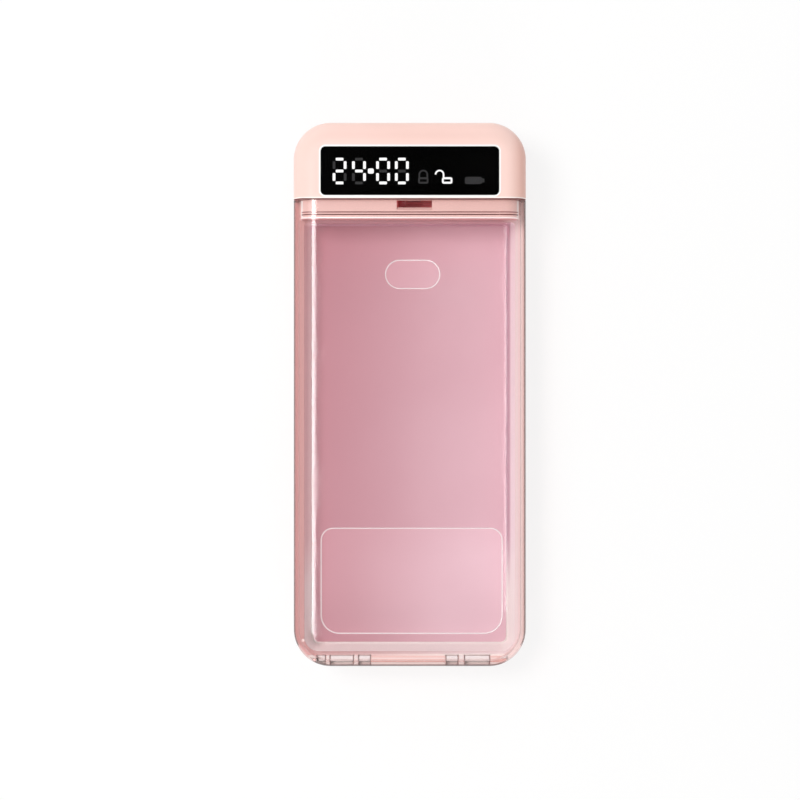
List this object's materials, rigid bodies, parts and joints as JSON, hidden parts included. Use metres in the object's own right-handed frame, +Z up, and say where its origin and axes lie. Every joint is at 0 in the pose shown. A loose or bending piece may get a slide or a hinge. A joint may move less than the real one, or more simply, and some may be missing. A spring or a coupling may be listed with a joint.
{
  "type": "timed lock container",
  "caption": "Timed lock box for a telephone: tray and hinged clear lid with touch window, latched by a motor-driven bolt in a display head with push buttons.",
  "frame": {"origin": "on the surface it lies on, under the middle of its outline", "axes": "+X to the side with the charging port, +Y along the box to the display head, +Z up out of the lid"},
  "size_m": [0.094, 0.22, 0.03],
  "materials": {
    "pink_case": "satin moulded, pale pink",
    "tray": "satin moulded, pink",
    "mat": "matte soft mat, mauve",
    "foot_rubber": "matte",
    "clear_plastic": "clear moulded plastic with a faint pink tint",
    "steel": "plain steel",
    "white_trim": "gloss white",
    "smoked_lens": "smoked clear plastic",
    "black_mask": "matte black",
    "lit": "lit white",
    "unlit": "unlit light pipe",
    "board": "green solder mask",
    "cell_wrap": "foil wrap",
    "flex": "amber film",
    "grey_plastic": "moulded, grey",
    "brass": "machined",
    "button": "satin moulded, off-white"
  },
  "bodies": {
    "case": {"base_shell": "pink_case", "head_cover": "pink_case", "phone_tray": "tray", "phone_mat": "mat", "rubber_feet": "foot_rubber", "hinge_pins": "steel", "display_bezel": "white_trim", "display_lens": "smoked_lens", "display_mask": "black_mask", "lit_segments": "lit", "unlit_segments": "unlit", "lit_icons": "lit", "unlit_icons": "unlit", "display_board": "board", "key_switches": "black_mask", "main_board": "board", "charging_port": "steel", "battery_cell": "cell_wrap", "flex_cable": "flex", "lid_sensor": "black_mask", "gear_motor": "steel", "motor_strap": "steel", "latch_chassis": "grey_plastic", "guide_cover": "grey_plastic", "guide_screws": "steel", "cover_screws": "steel"},
    "lid": {"clear_lid": "clear_plastic"},
    "bolt": {"latch_bolt": "grey_plastic"},
    "pinion": {"drive_pinion": "brass"},
    "hour_key": {"hour_button": "button"},
    "minute_key": {"minute_button": "button"},
    "lock_key": {"lock_button": "button"}
  },
  "joints": [
    {"name": "lid_hinge", "type": "hinge", "parent": "case", "child": "lid", "pos_m": [0, -0.1083, 0.015], "axis": [1, 0, 0], "range_deg": [0, 110]},
    {"name": "bolt_slide", "type": "slide", "parent": "case", "child": "bolt", "axis": [0, -1, 0], "range_m": [0, 0.004]},
    {"name": "pinion_turn", "type": "hinge", "parent": "case", "child": "pinion", "pos_m": [0.0073, 0.0906, 0.0125], "axis": [1, 0, 0], "range_deg": [0, 76.5]},
    {"name": "hour_press", "type": "slide", "parent": "case", "child": "hour_key", "axis": [0, -1, 0], "range_m": [0, 0.0005], "stiffness_N_per_m": 600},
    {"name": "minute_press", "type": "slide", "parent": "case", "child": "minute_key", "axis": [0, -1, 0], "range_m": [0, 0.0005], "stiffness_N_per_m": 600},
    {"name": "lock_press", "type": "slide", "parent": "case", "child": "lock_key", "axis": [0, -1, 0], "range_m": [0, 0.0005], "stiffness_N_per_m": 600}
  ],
  "couplings": [
    {"joint": "pinion_turn", "follows": "bolt_slide", "rad_per_m": 333.33}
  ]
}
